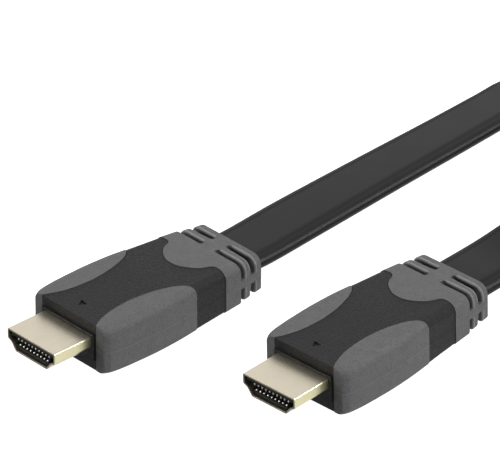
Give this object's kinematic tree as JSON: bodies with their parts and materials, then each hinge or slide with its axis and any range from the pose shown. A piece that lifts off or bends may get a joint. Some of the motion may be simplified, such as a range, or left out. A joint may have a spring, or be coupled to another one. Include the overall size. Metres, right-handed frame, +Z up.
{
  "type": "audio and video cable",
  "caption": "Flat black audio and video cable with a moulded plug on each end, each with soft side grips and a ribbed strain relief.",
  "frame": {"origin": "on the floor under the middle of plug A, on its flat underside", "axes": "+Z up; +Y along plug A from its metal tip towards its cable; +X to the right of plug A seen from its tip's side, where plug B lies"},
  "size_m": [0.1535, 0.2784, 0.0186],
  "materials": {
    "plug_shell": "satin",
    "insulator": "matte",
    "contacts": "polished",
    "body": "fine grained",
    "grip": "matte",
    "cable": "satin"
  },
  "bodies": {
    "root": {"metal_shell_a": "plug_shell", "insulator_a": "insulator", "contact_upper_1_a": "contacts", "contact_upper_2_a": "contacts", "contact_upper_3_a": "contacts", "contact_upper_4_a": "contacts", "contact_upper_5_a": "contacts", "contact_upper_6_a": "contacts", "contact_upper_7_a": "contacts", "contact_upper_8_a": "contacts", "contact_upper_9_a": "contacts", "contact_upper_10_a": "contacts", "contact_lower_1_a": "contacts", "contact_lower_2_a": "contacts", "contact_lower_3_a": "contacts", "contact_lower_4_a": "contacts", "contact_lower_5_a": "contacts", "contact_lower_6_a": "contacts", "contact_lower_7_a": "contacts", "contact_lower_8_a": "contacts", "contact_lower_9_a": "contacts", "body_a": "body", "grip_right_a": "grip", "grip_left_a": "grip", "strain_relief_a": "grip", "metal_shell_b": "plug_shell", "insulator_b": "insulator", "contact_upper_1_b": "contacts", "contact_upper_2_b": "contacts", "contact_upper_3_b": "contacts", "contact_upper_4_b": "contacts", "contact_upper_5_b": "contacts", "contact_upper_6_b": "contacts", "contact_upper_7_b": "contacts", "contact_upper_8_b": "contacts", "contact_upper_9_b": "contacts", "contact_upper_10_b": "contacts", "contact_lower_1_b": "contacts", "contact_lower_2_b": "contacts", "contact_lower_3_b": "contacts", "contact_lower_4_b": "contacts", "contact_lower_5_b": "contacts", "contact_lower_6_b": "contacts", "contact_lower_7_b": "contacts", "contact_lower_8_b": "contacts", "contact_lower_9_b": "contacts", "body_b": "body", "grip_right_b": "grip", "grip_left_b": "grip", "strain_relief_b": "grip", "cable_run_a": "cable", "cable_run_b": "cable", "cable_coil": "cable"}
  },
  "joints": []
}
